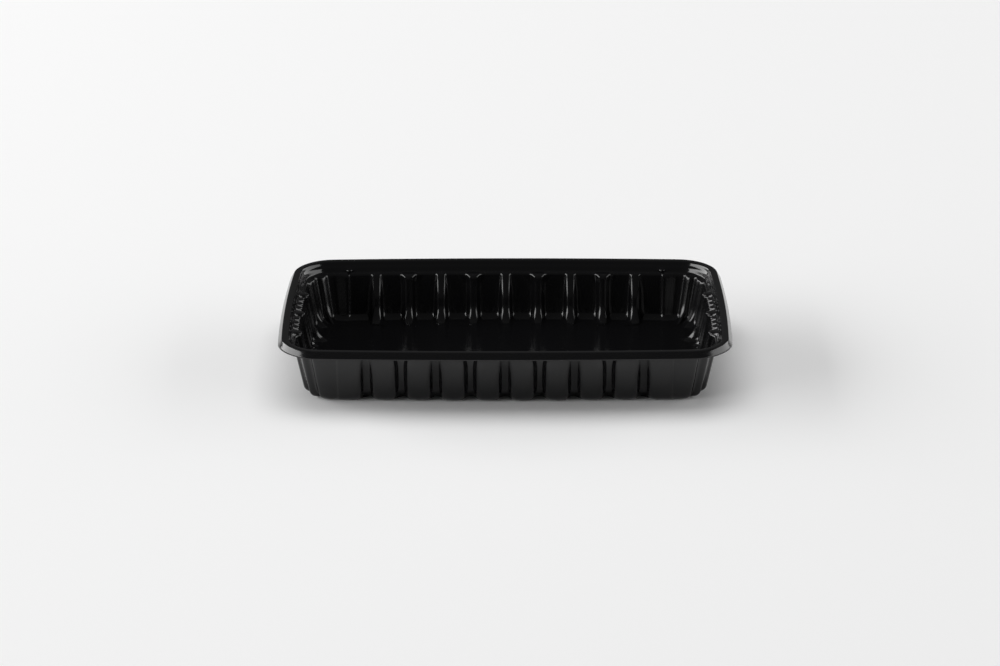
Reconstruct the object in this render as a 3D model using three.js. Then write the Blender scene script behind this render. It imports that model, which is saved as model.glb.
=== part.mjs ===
// A long meat tray, thermoformed from one sheet of glossy black plastic.
// Millimetres, +Z up. The origin is under the middle of the floor, X runs along the tray.
import * as THREE from 'three';

// Outline, measured on the crest of the rim between the corners
const CREST_LENGTH = 320;
const CREST_WIDTH = 190;
const CORNER_RADIUS = 26;
const LONG_SIDE_BOW = 3.8;
const SHORT_SIDE_BOW = 3.3;
const LONG_BOW_FADE = 4;
const SHORT_BOW_FADE = 8;
const HEIGHT = 45;
const SHEET = 0.6;

// Rim: a flat sealing flange with a skirt that turns down and out
const SKIRT_HEIGHT = 4.9;
const SKIRT_FLARE = 2.9;
const CREST_ROUND = 0.3;
const FLANGE_WIDTH = 3.9;
const FLANGE_ROUND = 0.9;

// Stacking band under the flange: a short drop, a step in, and a plain band down to the ledge
const STEP_DEPTH = 3.4;
const STEP_WIDTH = 1.1;
const STEP_FALL = 0.9;
const BAND_DEPTH = 8.2;
const LEDGE_WIDTH = 1.6;
const BAND_DRAFT = 0.25;

// Walls
const WALL_DRAFT = 0.19;
const FLOOR_FILLET = 6;
const FLOOR_FILLET_STEPS = 3;
const CORNER_TIGHTENING = 0.45;

// Ribs of the long walls: they stand into the tray, and show as grooves outside.
// Every other one, from the middle one on, is shallow at its top and deepens downwards.
const LONG_RIB_PITCH = 25;
const RIB_STAND = 4.2;
const RIB_FACE = 5.2;
const RIB_ROOT = 10.4;
const RIB_TOP_SHARE = 0.7;
const RIB_TOP_RUN = 2;
const RIB_TOP_SPREAD = 1.5;
const RIB_FOOT = 3;
const SHALLOW_RIB_STAND = 1.7;
const SHALLOW_RIB_TAPER = 19;

// A shallow vertical step before each corner of the long walls, with a stacking lug above it
const SHOULDER_FROM_CORNER = 13.8;
const SHOULDER_STAND = 0.8;
const LUG_FACE = 1.6;
const LUG_FLANK = 1.4;
const LUG_STAND = 1.2;

// Ribs of the short walls: three wide ones, with a group of small teeth midway between them
const SHORT_RIB_PITCH = 39;
const SHORT_RIB_STAND = 4.5;
const SHORT_RIB_FACE = 3.6;
const SHORT_RIB_ROOT = 9.4;
const TEETH_BETWEEN = 3;
const TOOTH_PITCH = 8.6;
const TOOTH_STAND = 2;

// Flutes of the corners, by their middle angle from the long wall, in degrees
const FLUTE_ANGLES = [32, 68];
const FLUTE_HALF_FACES = [6, 11];
const FLUTE_FLANK = 5;
const FLUTE_STAND = 2.2;
const PLAIN_CORNER_ANGLE = 10;

// The flutes and all ribs of the short walls start higher, inside the stacking band
const HIGH_RIB_DEPTH = 5.5;

// Finish
const BLACK_PLASTIC = { name: 'black_plastic', color: 0x0c0c0d, roughness: 0.16, metalness: 0 };

function smooth(value) {
  const t = Math.min(Math.max(value, 0), 1);
  return t * t * (3 - 2 * t);
}

// One ring of the profile. inset is counted from the crest towards the middle, depth from the top
// of the rim. rib and highRib are the shares of their stand that ribs reach there, highStep is how
// much further in the high ones start, and lug is the share of the stacking lugs.
function profileRing(inset, depth, form = {}) {
  return { inset, depth, rib: 0, highRib: 0, highStep: 0, lug: 0, ...form };
}

// The profile of the food side, from the skirt's lower edge to the edge of the floor
function trayProfile() {
  const dropBottom = FLANGE_WIDTH + FLANGE_ROUND + (STEP_DEPTH - FLANGE_ROUND) * BAND_DRAFT;
  const bandTop = dropBottom + STEP_WIDTH;
  const bandTopDepth = STEP_DEPTH + STEP_FALL;
  const onBand = (depth) => bandTop + (depth - bandTopDepth) * BAND_DRAFT;
  const wallTop = onBand(BAND_DEPTH) + LEDGE_WIDTH;
  const wallTopDepth = BAND_DEPTH + LEDGE_WIDTH / 2;
  const wallBottomDepth = HEIGHT - SHEET - FLOOR_FILLET;
  const ribFullDepth = wallTopDepth + RIB_TOP_RUN;
  const taperDepth = wallTopDepth + SHALLOW_RIB_TAPER;
  const onWall = (depth) => wallTop + (depth - wallTopDepth) * WALL_DRAFT;
  const fullRib = { rib: 1, highRib: 1 };
  const rings = [
    profileRing(-SKIRT_FLARE, SKIRT_HEIGHT),
    profileRing(-CREST_ROUND / 2, CREST_ROUND / 2),
    profileRing(CREST_ROUND, 0),
    profileRing(FLANGE_WIDTH, 0),
    profileRing(FLANGE_WIDTH + FLANGE_ROUND, FLANGE_ROUND),
    profileRing(dropBottom, STEP_DEPTH),
    profileRing(bandTop, bandTopDepth),
    profileRing(onBand(HIGH_RIB_DEPTH), HIGH_RIB_DEPTH, { lug: 1 }),
    profileRing(onBand(BAND_DEPTH), BAND_DEPTH, { highRib: 1, highStep: LEDGE_WIDTH, lug: 1 }),
    profileRing(wallTop, wallTopDepth, { rib: RIB_TOP_SHARE, highRib: 1 }),
    profileRing(onWall(ribFullDepth), ribFullDepth, fullRib),
    profileRing(onWall(taperDepth), taperDepth, fullRib),
    profileRing(onWall(wallBottomDepth), wallBottomDepth, fullRib),
  ];
  for (let step = 1; step <= FLOOR_FILLET_STEPS; step += 1) {
    const angle = (Math.PI / 2) * (step / FLOOR_FILLET_STEPS);
    const inset = onWall(wallBottomDepth) + FLOOR_FILLET * (1 - Math.cos(angle));
    rings.push(profileRing(inset, wallBottomDepth + FLOOR_FILLET * Math.sin(angle), fullRib));
  }
  for (const ring of rings) {
    const below = ring.depth - wallTopDepth;
    ring.taper = smooth(below / SHALLOW_RIB_TAPER);
    ring.spread = 1 - smooth(below / (SHALLOW_RIB_TAPER / 2));
    ring.foot = smooth((ring.depth - wallBottomDepth) / FLOOR_FILLET);
  }
  return rings;
}

// One column of the wall: its side of the tray, its place along that side and its form there.
// reach is how far it stands in, start the share of that at its top, foot how much more it stands
// in at the floor, spread how much wider its top is, and lug the stand of a stacking lug.
function column(side, place, form = {}) {
  return { side, place, reach: 0, start: 1, foot: 0, spread: 0, high: false, lug: 0, ...form };
}

// The four columns of one rib: root, face, face, root
function ribColumns(side, middle, rootWidth, faceWidth, form) {
  return [
    column(side, middle - rootWidth / 2, { spread: -RIB_TOP_SPREAD }),
    column(side, middle - faceWidth / 2, form),
    column(side, middle + faceWidth / 2, form),
    column(side, middle + rootWidth / 2, { spread: RIB_TOP_SPREAD }),
  ];
}

// The step at one end of a long wall, with the lug over it. end is 1 or -1.
function shoulderColumns(end) {
  const lugMiddle = CREST_LENGTH / 2 - CORNER_RADIUS - SHOULDER_FROM_CORNER;
  const outerFace = lugMiddle + LUG_FACE / 2;
  const innerFace = lugMiddle - LUG_FACE / 2;
  return [
    column('long', end * (innerFace - LUG_FLANK)),
    column('long', end * innerFace, { lug: LUG_STAND }),
    column('long', end * outerFace, { reach: SHOULDER_STAND, lug: LUG_STAND }),
    column('long', end * (outerFace + LUG_FLANK), { reach: SHOULDER_STAND }),
  ];
}

function longWallColumns() {
  const end = shoulderColumns(1);
  const room = end[0].place - RIB_ROOT / 2 - RIB_TOP_SPREAD;
  const last = Math.floor(room / LONG_RIB_PITCH);
  const columns = shoulderColumns(-1).reverse();
  for (let index = -last; index <= last; index += 1) {
    const start = index % 2 === 0 ? SHALLOW_RIB_STAND / RIB_STAND : 1;
    const form = { reach: RIB_STAND, start, foot: RIB_FOOT };
    columns.push(...ribColumns('long', index * LONG_RIB_PITCH, RIB_ROOT, RIB_FACE, form));
  }
  columns.push(...end);
  return columns;
}

// The teeth between two wide ribs: a valley on each side of every tip
function toothColumns(middle) {
  const columns = [];
  const first = middle - (TEETH_BETWEEN / 2) * TOOTH_PITCH;
  for (let tooth = 0; tooth < TEETH_BETWEEN; tooth += 1) {
    const valley = first + tooth * TOOTH_PITCH;
    columns.push(column('short', valley));
    columns.push(column('short', valley + TOOTH_PITCH / 2, { reach: TOOTH_STAND, high: true }));
  }
  columns.push(column('short', first + TEETH_BETWEEN * TOOTH_PITCH));
  return columns;
}

function shortWallColumns() {
  const columns = [];
  const form = { reach: SHORT_RIB_STAND, foot: RIB_FOOT, high: true };
  for (let index = -1; index <= 1; index += 1) {
    const middle = index * SHORT_RIB_PITCH;
    columns.push(...ribColumns('short', middle, SHORT_RIB_ROOT, SHORT_RIB_FACE, form));
    if (index < 1) {
      columns.push(...toothColumns(middle + SHORT_RIB_PITCH / 2));
    }
  }
  return columns;
}

// The columns of one corner, by angle from the long wall's normal to the short wall's normal
function cornerColumns() {
  const columns = [column('corner', 0), column('corner', PLAIN_CORNER_ANGLE)];
  FLUTE_ANGLES.forEach((middle, index) => {
    const half = FLUTE_HALF_FACES[index];
    const form = { reach: FLUTE_STAND, foot: RIB_FOOT, high: true };
    columns.push(column('corner', middle - half - FLUTE_FLANK));
    columns.push(column('corner', middle - half, form));
    columns.push(column('corner', middle + half, form));
    columns.push(column('corner', middle + half + FLUTE_FLANK));
  });
  columns.push(column('corner', 90));
  return columns;
}

// How far a column stands in from the plain profile at one ring
function standAt(ring, item) {
  const share = item.start + (1 - item.start) * ring.taper;
  const rib = item.high ? ring.highRib : ring.rib;
  return (item.reach * share + item.foot * ring.foot) * rib + item.lug * ring.lug;
}

// Where a column meets a ring, on the quarter of the tray with X and Y positive.
// The sides bow outwards a little between the corners.
function quarterPoint(ring, item) {
  const inset = ring.inset + (item.high ? ring.highStep : 0);
  const halfLength = CREST_LENGTH / 2 - inset;
  const halfWidth = CREST_WIDTH / 2 - inset;
  const rimWidth = FLANGE_WIDTH + FLANGE_ROUND;
  const radius = CORNER_RADIUS - Math.min(inset, rimWidth)
    - Math.max(inset - rimWidth, 0) * CORNER_TIGHTENING;
  const stand = standAt(ring, item);
  const point = new THREE.Vector3(0, 0, HEIGHT - ring.depth);
  if (item.side === 'long') {
    point.x = item.place + item.spread * ring.spread;
    point.y = halfWidth - stand;
  } else if (item.side === 'short') {
    point.x = halfLength - stand;
    point.y = item.place + item.spread * ring.spread;
  } else {
    const angle = THREE.MathUtils.degToRad(item.place);
    point.x = halfLength - radius + (radius - stand) * Math.sin(angle);
    point.y = halfWidth - radius + (radius - stand) * Math.cos(angle);
  }
  const alongX = point.x / halfLength;
  const alongY = point.y / halfWidth;
  point.y += LONG_SIDE_BOW * (1 - alongX * alongX) * Math.min(Math.abs(alongY), 1) ** LONG_BOW_FADE;
  point.x += SHORT_SIDE_BOW * (1 - alongY * alongY) * Math.min(Math.abs(alongX), 1) ** SHORT_BOW_FADE;
  return point;
}

// All columns in order round the tray, counter-clockwise from above.
// Each carries the signs that send its quarter point to its own quarter.
function columnsRoundTheTray() {
  const long = longWallColumns();
  const short = shortWallColumns();
  const corner = cornerColumns();
  const around = [];
  const add = (items, signX, signY, reversed) => {
    const ordered = reversed ? [...items].reverse() : items;
    ordered.forEach((item) => around.push({ item, signX, signY }));
  };
  add(short, 1, 1, false);
  add(corner, 1, 1, true);
  add(long, 1, 1, true);
  add(corner, -1, 1, false);
  add(short, -1, 1, true);
  add(corner, -1, -1, true);
  add(long, 1, -1, false);
  add(corner, 1, -1, false);
  return around;
}

function foodSideRings() {
  const around = columnsRoundTheTray();
  return trayProfile().map((ring) => around.map(({ item, signX, signY }) => {
    const point = quarterPoint(ring, item);
    point.x *= signX;
    point.y *= signY;
    return point;
  }));
}

// Normals of the food side at every ring point, from the neighbouring points
function ringNormals(rings) {
  const last = rings.length - 1;
  return rings.map((ring, level) => ring.map((point, place) => {
    const next = ring[(place + 1) % ring.length];
    const previous = ring[(place + ring.length - 1) % ring.length];
    const outer = rings[Math.max(level - 1, 0)][place];
    const inner = rings[Math.min(level + 1, last)][place];
    const along = next.clone().sub(previous);
    const inward = inner.clone().sub(outer);
    if (level === last) {
      return new THREE.Vector3(0, 0, 1);
    }
    return along.cross(inward).normalize();
  }));
}

function offsetRings(rings, normals, distance) {
  return rings.map((ring, level) => ring.map((point, place) => (
    point.clone().addScaledVector(normals[level][place], -distance)
  )));
}

// One closed sheet: the food side, the underside and the thin edge at the foot of the skirt
function sheetGeometry(topRings, underRings) {
  const positions = [];
  const indices = [];
  const count = topRings[0].length;
  const levels = topRings.length;
  [...topRings, ...underRings].forEach((ring) => ring.forEach((point) => positions.push(...point)));
  const top = (level, place) => level * count + (place % count);
  const under = (level, place) => (levels + level) * count + (place % count);
  for (let level = 0; level < levels - 1; level += 1) {
    for (let place = 0; place < count; place += 1) {
      indices.push(top(level, place), top(level, place + 1), top(level + 1, place));
      indices.push(top(level, place + 1), top(level + 1, place + 1), top(level + 1, place));
      indices.push(under(level, place), under(level + 1, place), under(level, place + 1));
      indices.push(under(level, place + 1), under(level + 1, place), under(level + 1, place + 1));
    }
  }
  for (let place = 0; place < count; place += 1) {
    indices.push(top(0, place + 1), top(0, place), under(0, place));
    indices.push(top(0, place + 1), under(0, place), under(0, place + 1));
  }
  const floor = topRings[levels - 1].map((point) => new THREE.Vector2(point.x, point.y));
  THREE.ShapeUtils.triangulateShape(floor, []).forEach(([a, b, c]) => {
    const turnsLeft = THREE.ShapeUtils.area([floor[a], floor[b], floor[c]]) > 0;
    const [second, third] = turnsLeft ? [b, c] : [c, b];
    indices.push(top(levels - 1, a), top(levels - 1, second), top(levels - 1, third));
    indices.push(under(levels - 1, a), under(levels - 1, third), under(levels - 1, second));
  });
  const geometry = new THREE.BufferGeometry();
  geometry.setAttribute('position', new THREE.Float32BufferAttribute(positions, 3));
  geometry.setIndex(indices);
  geometry.computeVertexNormals();
  return geometry;
}

function makeTray() {
  const rings = foodSideRings();
  const underside = offsetRings(rings, ringNormals(rings), SHEET);
  const tray = new THREE.Mesh(sheetGeometry(rings, underside), new THREE.MeshStandardMaterial(BLACK_PLASTIC));
  tray.name = 'tray';
  return tray;
}

const meatTray = new THREE.Group();
meatTray.add(makeTray());

export default meatTray;
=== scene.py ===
import math

import bmesh
import bpy
from mathutils import Matrix, Vector


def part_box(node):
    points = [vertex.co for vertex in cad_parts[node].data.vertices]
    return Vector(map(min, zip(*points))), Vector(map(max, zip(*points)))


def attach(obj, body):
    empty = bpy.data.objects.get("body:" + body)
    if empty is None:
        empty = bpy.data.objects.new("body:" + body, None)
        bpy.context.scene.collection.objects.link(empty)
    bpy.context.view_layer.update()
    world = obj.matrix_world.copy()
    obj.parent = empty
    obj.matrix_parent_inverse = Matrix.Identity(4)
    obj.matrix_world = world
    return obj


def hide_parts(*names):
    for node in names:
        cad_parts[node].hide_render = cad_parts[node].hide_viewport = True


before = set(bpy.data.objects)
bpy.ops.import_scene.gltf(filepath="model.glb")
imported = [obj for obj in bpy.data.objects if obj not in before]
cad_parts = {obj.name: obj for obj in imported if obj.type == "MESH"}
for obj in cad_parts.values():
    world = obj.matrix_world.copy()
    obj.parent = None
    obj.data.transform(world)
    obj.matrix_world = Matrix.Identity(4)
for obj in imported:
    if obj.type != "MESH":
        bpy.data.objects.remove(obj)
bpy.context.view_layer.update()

# The tray: one sheet of glossy black plastic, heated and drawn down over a mould. The rim is trimmed
# last, so the sheet's thin edge shows at the foot of the skirt. Ribs, flutes and steps stiffen the walls.
# Sizes are in millimetres, and MM turns them into metres.
MM = 0.001
tray_low, tray_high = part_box("tray")
RIM_HEIGHT = (tray_high.z - tray_low.z) / MM
CREST_LENGTH = 320
CREST_WIDTH = 190
CREST_CORNER = 26
LONG_BOW = 3.8
SHORT_BOW = 3.3
LONG_BOW_FADE = 4
SHORT_BOW_FADE = 8
SHEET = 0.6
FLANGE = 4.8
BODY_TIGHTENING = 0.45

# The profile of the food side, as inset from the crest and depth from the top of the rim
SKIRT_PROFILE = [(-2.88, 4.9), (-1.9, 3.2), (-0.85, 1.35), (-0.25, 0.3)]
FLANGE_PROFILE = [(0.1, 0.0), (1.9, 0.0), (3.7, 0.03), (4.45, 0.35), (4.85, 1.1)]
STEP_PROFILE = [(5.15, 2.2), (5.45, 3.1), (5.95, 3.8), (6.4, 4.7)]
BAND_INSET, BAND_DEPTH = STEP_PROFILE[-1]
BAND_STEPS = [5.5, 6.2, 6.9, 7.7]
BAND_DRAFT = 0.25
LEDGE_PROFILE = [(7.7, 8.3), (8.5, 8.65), (9.05, 9.2)]
LEDGE_INSET, LEDGE_DEPTH = LEDGE_PROFILE[-1]
WALL_STEPS = [10.3, 12.0, 15.0, 19.0, 24.0, 29.5, 34.5]
WALL_DRAFT = 0.19
FLOOR_FILLET = 6.0
FILLET_STEPS = 5
FLOOR_DEPTH = RIM_HEIGHT - SHEET
FILLET_TOP = FLOOR_DEPTH - FLOOR_FILLET
FLOOR_SHRINK = 0.88

# Ribs of the long walls start under the ledge. Every other one, from the middle one on, is shallow at
# its top. Lines are the places of the mesh's columns, counted from the middle of a rib.
LOW_RIB_DEPTH = 7.7
LOW_RIB_RUN = 2.0
RIB_COUNT = 9
RIB_PITCH = 25.0
RIB_STAND = 4.2
RIB_FACE = 2.1
RIB_ROOT = 5.5
RIB_TOP_SPREAD = 1.3
RIB_TOP_RUN = 7.0
RIB_LINES = [-6.6, -5.2, -3.9, -2.4, 0.0, 2.4, 3.9, 5.2, 6.6]
SHALLOW_SHARE = 0.36
SHALLOW_FACE = 2.8
SHALLOW_ROOT = 3.9
SHALLOW_TAPER = 19.0
SHALLOW_LINES = [-6.6, -5.2, -3.8, -2.9, 0.0, 2.9, 3.8, 5.2, 6.6]
PLAIN_LONG_LINES = [113.0]

# Ribs and flutes, but not teeth, run out into the floor in a foot that stands further in
RIB_FOOT = 3.0
FOOT_START = 34.0
FOOT_SPREAD = 1.5

# Before each corner, a long wall steps in a little, and a stacking lug stands in the band above
SHOULDER_PLACE = 120.8
SHOULDER_STAND = 1.0
SHOULDER_RUN = 1.0
LUG_FACE = 0.5
LUG_ROOT = 2.7
LUG_STAND = 2.2
LUG_LINES = [-2.8, -1.6, -0.5, 0.5, 1.6, 2.8]

# The short walls have three wide ribs, with three teeth between neighbours, which start in the band
HIGH_RIB_DEPTH = 6.1
HIGH_RIB_RUN = 0.8
END_RIB_COUNT = 3
END_RIB_PITCH = 39.0
END_RIB_STAND = 4.5
END_RIB_FACE = 2.0
END_RIB_ROOT = 4.9
END_RIB_LINES = [-5.0, -3.9, -2.6, 0.0, 2.6, 3.9, 5.0]
TOOTH_PLACES = [10.9, 19.5, 28.1]
TOOTH_STAND = 2.0
TOOTH_FACE = 1.4
TOOTH_ROOT = 4.1
TOOTH_LINES = [-4.3, -3.0, -1.5, 1.5, 3.0]
PLAIN_SHORT_LINES = [50.0, 58.0]

# The flutes of a corner, by middle and half width in degrees, and the columns from the long side on
FLUTES = [(32.0, 6.0), (68.0, 11.0)]
FLUTE_FLANK = 5.0
FLUTE_STAND = 2.2
CORNER_LINES = [0, 7, 14, 20, 23.5, 26.5, 32, 37.5, 40.5, 45, 50, 54, 57.5, 62, 68, 74, 79, 82, 86, 90]


def ease(value):
    """0 to 1, with a soft start and end."""
    t = min(max(value, 0.0), 1.0)
    return t * t * (3 - 2 * t)


def plateau(offset, face, root):
    """1 on the face of a rib, 0 outside its root."""
    return ease((root - abs(offset)) / (root - face))


def wall_inset(depth):
    return LEDGE_INSET + (depth - LEDGE_DEPTH) * WALL_DRAFT


def tray_profile():
    """Rings of inset and depth from the skirt's edge to the edge of the floor."""
    rings = SKIRT_PROFILE + FLANGE_PROFILE + STEP_PROFILE
    rings = rings + [(BAND_INSET + (depth - BAND_DEPTH) * BAND_DRAFT, depth) for depth in BAND_STEPS]
    rings = rings + LEDGE_PROFILE
    rings = rings + [(wall_inset(depth), depth) for depth in WALL_STEPS]
    for step in range(FILLET_STEPS + 1):
        angle = math.radians(90) * step / FILLET_STEPS
        inset = wall_inset(FILLET_TOP) + FLOOR_FILLET * (1 - math.cos(angle))
        rings.append((inset, FILLET_TOP + FLOOR_FILLET * math.sin(angle)))
    return rings


def low_start(depth):
    """The share of its stand that a rib has, where it starts under the ledge."""
    return ease((depth - LOW_RIB_DEPTH) / LOW_RIB_RUN)


def high_rib(reach, shape, inset, depth):
    """A rib that starts inside the stacking band, on the line of the wall below."""
    start = ease((depth - HIGH_RIB_DEPTH) / HIGH_RIB_RUN)
    return (reach + max(wall_inset(depth) - inset, 0)) * shape * start


def foot_share(depth):
    return ease((depth - FOOT_START) / (FLOOR_DEPTH - FOOT_START))


def rib_foot(depth):
    return RIB_FOOT * foot_share(depth)


def rib_section(number, depth):
    """The share of its stand that a long wall's rib has at a depth, and its half widths at face and root."""
    if number % 2 == 0:
        low = ease((depth - LEDGE_DEPTH) / SHALLOW_TAPER)
        face = SHALLOW_FACE + (RIB_FACE - SHALLOW_FACE) * low
        root = SHALLOW_ROOT + (RIB_ROOT - SHALLOW_ROOT) * low
        return SHALLOW_SHARE + (1 - SHALLOW_SHARE) * low, face, root
    spread = RIB_TOP_SPREAD * (1 - ease((depth - LEDGE_DEPTH) / RIB_TOP_RUN))
    return 1.0, RIB_FACE + spread / 2, RIB_ROOT + spread


def lug_stand(x, depth):
    """A lug deepens down the band, and ends one ring above its foot."""
    if depth not in BAND_STEPS[:-1]:
        return 0.0
    run = (depth - BAND_DEPTH) / (BAND_STEPS[-2] - BAND_DEPTH)
    return LUG_STAND * run * plateau(abs(x) - SHOULDER_PLACE, LUG_FACE, LUG_ROOT)


def long_stand(x, depth):
    """How far a long wall stands in, at a place along it and a depth."""
    past_shoulder = ease((abs(x) - SHOULDER_PLACE) / SHOULDER_RUN + 0.5)
    stand = SHOULDER_STAND * past_shoulder * low_start(depth) + lug_stand(x, depth)
    nearest = round(x / RIB_PITCH)
    if abs(nearest) > (RIB_COUNT - 1) / 2:
        return stand
    share, face, root = rib_section(nearest, depth)
    shape = plateau(x - nearest * RIB_PITCH, face, root + FOOT_SPREAD * foot_share(depth))
    return stand + (RIB_STAND * share + rib_foot(depth)) * shape * low_start(depth)


def short_stand(y, inset, depth):
    """The same for a short wall."""
    last = (END_RIB_COUNT - 1) / 2
    nearest = min(max(round(y / END_RIB_PITCH), -last), last)
    shape = plateau(y - nearest * END_RIB_PITCH, END_RIB_FACE, END_RIB_ROOT)
    stand = high_rib(END_RIB_STAND + rib_foot(depth), shape, inset, depth)
    for tooth in TOOTH_PLACES:
        shape = plateau(abs(y) - tooth, TOOTH_FACE, TOOTH_ROOT)
        stand = max(stand, high_rib(TOOTH_STAND, shape, inset, depth))
    return stand


def corner_stand(angle, depth):
    shape = sum(plateau(angle - middle, half, half + FLUTE_FLANK) for middle, half in FLUTES)
    return (FLUTE_STAND + rib_foot(depth)) * shape * low_start(depth)


def quarter_columns():
    """The wall's columns on one quarter, from the middle of the short side to the middle of the long side."""
    short = list(PLAIN_SHORT_LINES)
    for number in range(END_RIB_COUNT // 2 + 1):
        short += [number * END_RIB_PITCH + line for line in END_RIB_LINES]
    for tooth in TOOTH_PLACES:
        short += [tooth + line for line in TOOTH_LINES]
    short.append(TOOTH_PLACES[-1] + TOOTH_ROOT)
    long = PLAIN_LONG_LINES + [SHOULDER_PLACE + line for line in LUG_LINES]
    for number in range(RIB_COUNT // 2 + 1):
        lines = RIB_LINES if number % 2 else SHALLOW_LINES
        long += [number * RIB_PITCH + line for line in lines]
    columns = [("short", y) for y in sorted(short) if y >= 0]
    columns += [("corner", angle) for angle in reversed(CORNER_LINES)]
    columns += [("long", x) for x in sorted(long, reverse=True) if x >= 0]
    return columns


def quarter_point(column, inset, depth, relief):
    """A point of the food side, in millimetres, on the quarter with X and Y positive."""
    side, place = column
    half_length = CREST_LENGTH / 2 - inset
    half_width = CREST_WIDTH / 2 - inset
    radius = CREST_CORNER - min(inset, FLANGE) - max(inset - FLANGE, 0) * BODY_TIGHTENING
    if side == "long":
        x, y = place, half_width - long_stand(place, depth) * relief
    elif side == "short":
        x, y = half_length - short_stand(place, inset, depth) * relief, place
    else:
        turn = math.radians(place)
        reach = radius - corner_stand(place, depth) * relief
        x = half_length - radius + reach * math.sin(turn)
        y = half_width - radius + reach * math.cos(turn)
    along_x, along_y = x / half_length, y / half_width
    y += LONG_BOW * (1 - along_x ** 2) * min(abs(along_y), 1) ** LONG_BOW_FADE
    x += SHORT_BOW * (1 - along_y ** 2) * min(abs(along_x), 1) ** SHORT_BOW_FADE
    return x, y, RIM_HEIGHT - depth


def ring_points(inset, depth, relief=1.0, shrink=1.0):
    """The whole ring, counter-clockwise from the middle of the right-hand side."""
    quarter = [quarter_point(column, inset, depth, relief) for column in quarter_columns()]
    first = [(x * shrink, y * shrink, z) for x, y, z in quarter]
    second = [(-x, y, z) for x, y, z in reversed(first[:-1])]
    half = first + second
    below = [(x, -y, z) for x, y, z in reversed(half[1:-1])]
    return [Vector(point) * MM for point in half + below]


def place_selected(points):
    """Puts the selected loop's vertices, which keep their order round the tray, on the points."""
    mesh = bmesh.from_edit_mesh(bpy.context.object.data)
    loop = [vertex for vertex in mesh.verts if vertex.select]
    loop.sort(key=lambda vertex: vertex.index)
    for vertex, point in zip(loop, points):
        vertex.co = point
    bmesh.update_edit_mesh(bpy.context.object.data)


# The walls are drawn ring by ring from the skirt's edge. The last ring lies on the flat floor, plain and
# a little smaller, so that the rounding of the foot runs out before it.
bpy.ops.object.select_all(action="DESELECT")
rings = tray_profile()
first_ring = ring_points(*rings[0])
bpy.ops.mesh.primitive_circle_add(vertices=len(first_ring), radius=CREST_WIDTH / 2 * MM, fill_type="NOTHING")
tray = bpy.context.object
tray.name = "tray_sheet"
bpy.ops.object.mode_set(mode="EDIT")
bpy.ops.mesh.select_all(action="SELECT")
place_selected(first_ring)
for inset, depth in rings[1:]:
    bpy.ops.mesh.extrude_edges_move()
    place_selected(ring_points(inset, depth))
bpy.ops.mesh.extrude_edges_move()
place_selected(ring_points(*rings[-1], relief=0.0, shrink=FLOOR_SHRINK))
bpy.ops.mesh.select_all(action="SELECT")
bpy.ops.mesh.normals_make_consistent(inside=False)
bpy.ops.object.mode_set(mode="OBJECT")
rounding = tray.modifiers.new("rounding", "SUBSURF")
rounding.levels = 1
rounding.render_levels = 1
bpy.ops.object.modifier_apply(modifier="rounding")

# The flat floor closes the innermost loop, and the sheet gets its thickness
bpy.ops.object.mode_set(mode="EDIT")
bpy.ops.mesh.select_all(action="DESELECT")
mesh = bmesh.from_edit_mesh(tray.data)
for edge in mesh.edges:
    edge.select_set(edge.is_boundary and edge.verts[0].co.z < RIM_HEIGHT * MM / 2)
bmesh.update_edit_mesh(tray.data)
bpy.ops.mesh.edge_face_add()
bpy.ops.object.mode_set(mode="OBJECT")
thickness = tray.modifiers.new("sheet", "SOLIDIFY")
thickness.thickness = SHEET * MM
thickness.offset = -1
thickness.use_even_offset = False
bpy.ops.object.modifier_apply(modifier="sheet")

# All is smooth but the floor's two large faces, which are flat
bpy.ops.object.shade_smooth()
bpy.ops.object.mode_set(mode="EDIT")
bpy.ops.mesh.select_all(action="DESELECT")
mesh = bmesh.from_edit_mesh(tray.data)
for face in mesh.faces:
    face.select_set(len(face.verts) > 4)
bmesh.update_edit_mesh(tray.data)
bpy.ops.mesh.faces_shade_flat()
bpy.ops.object.mode_set(mode="OBJECT")

# Polished plastic, with a gloss that varies a little and the faint ripple of a drawn sheet
PLASTIC_BLACK = (0.004, 0.004, 0.0044, 1)
PLASTIC_IOR = 1.49
HAZE_ROUGHNESS = (0.10, 0.20)
HAZE_SCALE = 60
HAZE_DETAIL = 6
RIPPLE_SCALE = 110
RIPPLE_DETAIL = 3
RIPPLE_STRENGTH = 0.12
RIPPLE_HEIGHT = 0.2 * MM
plastic = bpy.data.materials.new("glossy_black_plastic")
plastic.use_nodes = True
nodes = plastic.node_tree.nodes
links = plastic.node_tree.links
shader = nodes["Principled BSDF"]
shader.inputs["Base Color"].default_value = PLASTIC_BLACK
shader.inputs["IOR"].default_value = PLASTIC_IOR
place = nodes.new("ShaderNodeTexCoord")
haze = nodes.new("ShaderNodeTexNoise")
haze.inputs["Scale"].default_value = HAZE_SCALE
haze.inputs["Detail"].default_value = HAZE_DETAIL
haze_range = nodes.new("ShaderNodeMapRange")
haze_range.inputs["To Min"].default_value = HAZE_ROUGHNESS[0]
haze_range.inputs["To Max"].default_value = HAZE_ROUGHNESS[1]
ripple = nodes.new("ShaderNodeTexNoise")
ripple.inputs["Scale"].default_value = RIPPLE_SCALE
ripple.inputs["Detail"].default_value = RIPPLE_DETAIL
ripple_bump = nodes.new("ShaderNodeBump")
ripple_bump.inputs["Strength"].default_value = RIPPLE_STRENGTH
ripple_bump.inputs["Distance"].default_value = RIPPLE_HEIGHT
links.new(place.outputs["Object"], haze.inputs["Vector"])
links.new(place.outputs["Object"], ripple.inputs["Vector"])
links.new(haze.outputs["Fac"], haze_range.inputs["Value"])
links.new(haze_range.outputs["Result"], shader.inputs["Roughness"])
links.new(ripple.outputs["Fac"], ripple_bump.inputs["Height"])
links.new(ripple_bump.outputs["Normal"], shader.inputs["Normal"])
tray.data.materials.append(plastic)
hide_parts("tray")
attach(tray, "root")

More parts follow.
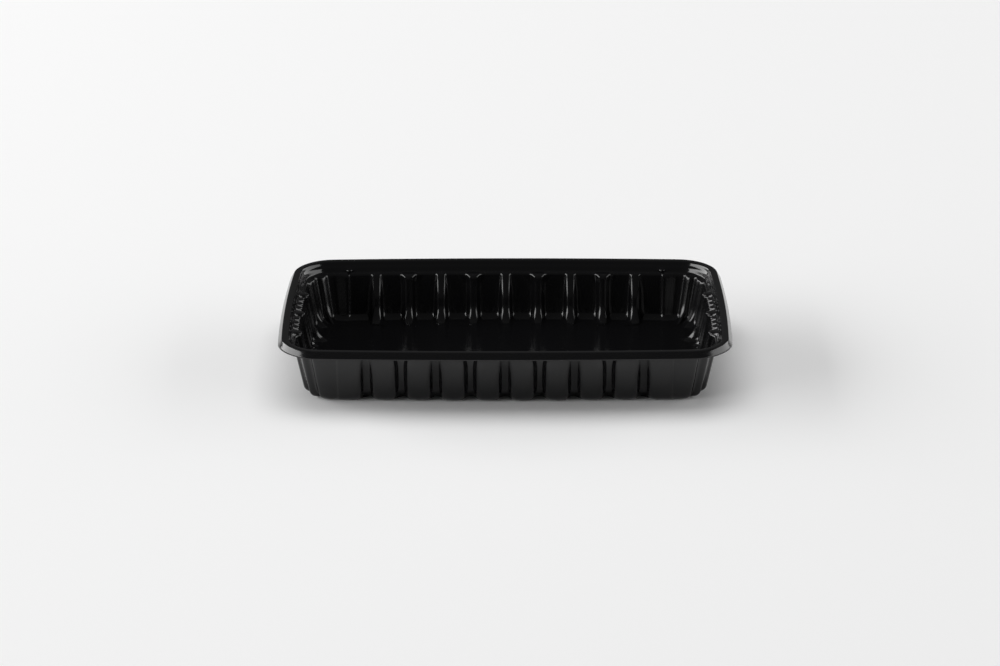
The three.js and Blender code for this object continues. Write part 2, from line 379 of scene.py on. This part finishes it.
# The floor: one wide sheet of pale, dull paper, laid flat, that the tray stands on. It is far wider
# than the picture, so that it is the whole background.
FLOOR_SIZE = 12
FLOOR_GAP = 0.1 * MM
PAPER = (0.92, 0.92, 0.92, 1)
PAPER_ROUGHNESS = 0.9
PAPER_SPECULAR = 0.0
bpy.ops.object.select_all(action="DESELECT")
bpy.ops.mesh.primitive_plane_add(size=FLOOR_SIZE, location=(0, 0, -FLOOR_GAP))
floor = bpy.context.object
floor.name = "floor"
bpy.ops.object.transform_apply(location=True, rotation=False, scale=False)
paper = bpy.data.materials.new("pale_paper")
paper.use_nodes = True
paper_shader = paper.node_tree.nodes["Principled BSDF"]
paper_shader.inputs["Base Color"].default_value = PAPER
paper_shader.inputs["Roughness"].default_value = PAPER_ROUGHNESS
paper_shader.inputs["Specular IOR Level"].default_value = PAPER_SPECULAR
floor.data.materials.append(paper)

# The light: a wide soft box overhead and a low, wide one on each side, in a dark studio. The overhead
# one stands out of the mirror of the gloss, as a diffused ceiling does. Metres and watts.
STUDIO_GREY = (0.08, 0.08, 0.08, 1)


def soft_box(name, place, size, power, in_gloss=True):
    lamp = bpy.data.lights.new(name, "AREA")
    lamp.shape = "RECTANGLE"
    lamp.size, lamp.size_y = size
    lamp.energy = power
    holder = bpy.data.objects.new(name, lamp)
    holder.location = place
    holder.rotation_euler = (-Vector(place)).to_track_quat("-Z", "Y").to_euler()
    holder.visible_glossy = in_gloss
    bpy.context.scene.collection.objects.link(holder)


soft_box("overhead_box", place=(-0.3, 1.6, 6.6), size=(8.0, 6.0), power=280, in_gloss=False)
soft_box("left_box", place=(-5.5, 0.2, 1.9), size=(10.0, 2.6), power=465)
soft_box("right_box", place=(5.8, 0.6, 1.8), size=(10.5, 2.8), power=245)
world = bpy.data.worlds.new("studio")
world.use_nodes = True
world.node_tree.nodes["Background"].inputs["Color"].default_value = STUDIO_GREY
bpy.context.scene.world = world
bpy.context.scene.view_settings.view_transform = "Standard"

# The camera: a long lens, a little above the tray and square to its long side. The middle of the rim
# stands a little off the middle of the picture.
FRAME_WIDTH = 1000
FRAME_HEIGHT = 666
FOCAL_PIXELS = 3004
RIM_CENTRE_PIXEL = (505.4, 303.6)
ELEVATION = math.radians(21.5)
TRAY_YAW = math.radians(-0.335)
ROLL = math.radians(0.176)
DISTANCE = 2236.7 * MM
SENSOR_WIDTH = 36
forward = Vector((0, math.cos(ELEVATION), -math.sin(ELEVATION)))
right = Vector((1, 0, 0))
up = Vector((0, math.sin(ELEVATION), math.cos(ELEVATION)))
aside = (RIM_CENTRE_PIXEL[0] - FRAME_WIDTH / 2) * DISTANCE / FOCAL_PIXELS
above = (FRAME_HEIGHT / 2 - RIM_CENTRE_PIXEL[1]) * DISTANCE / FOCAL_PIXELS
eye = Vector((0, 0, RIM_HEIGHT * MM)) - DISTANCE * forward - aside * right - above * up
level_right = math.cos(ROLL) * right - math.sin(ROLL) * up
level_up = math.sin(ROLL) * right + math.cos(ROLL) * up
turn = Matrix.Rotation(-TRAY_YAW, 4, "Z")
axes = Matrix((level_right, level_up, -forward)).transposed().to_4x4()
lens = bpy.data.cameras.new("camera")
lens.sensor_width = SENSOR_WIDTH
lens.lens = FOCAL_PIXELS / FRAME_WIDTH * SENSOR_WIDTH
camera = bpy.data.objects.new("camera", lens)
camera.matrix_world = turn @ Matrix.Translation(eye) @ axes
bpy.context.scene.collection.objects.link(camera)
bpy.context.scene.camera = camera
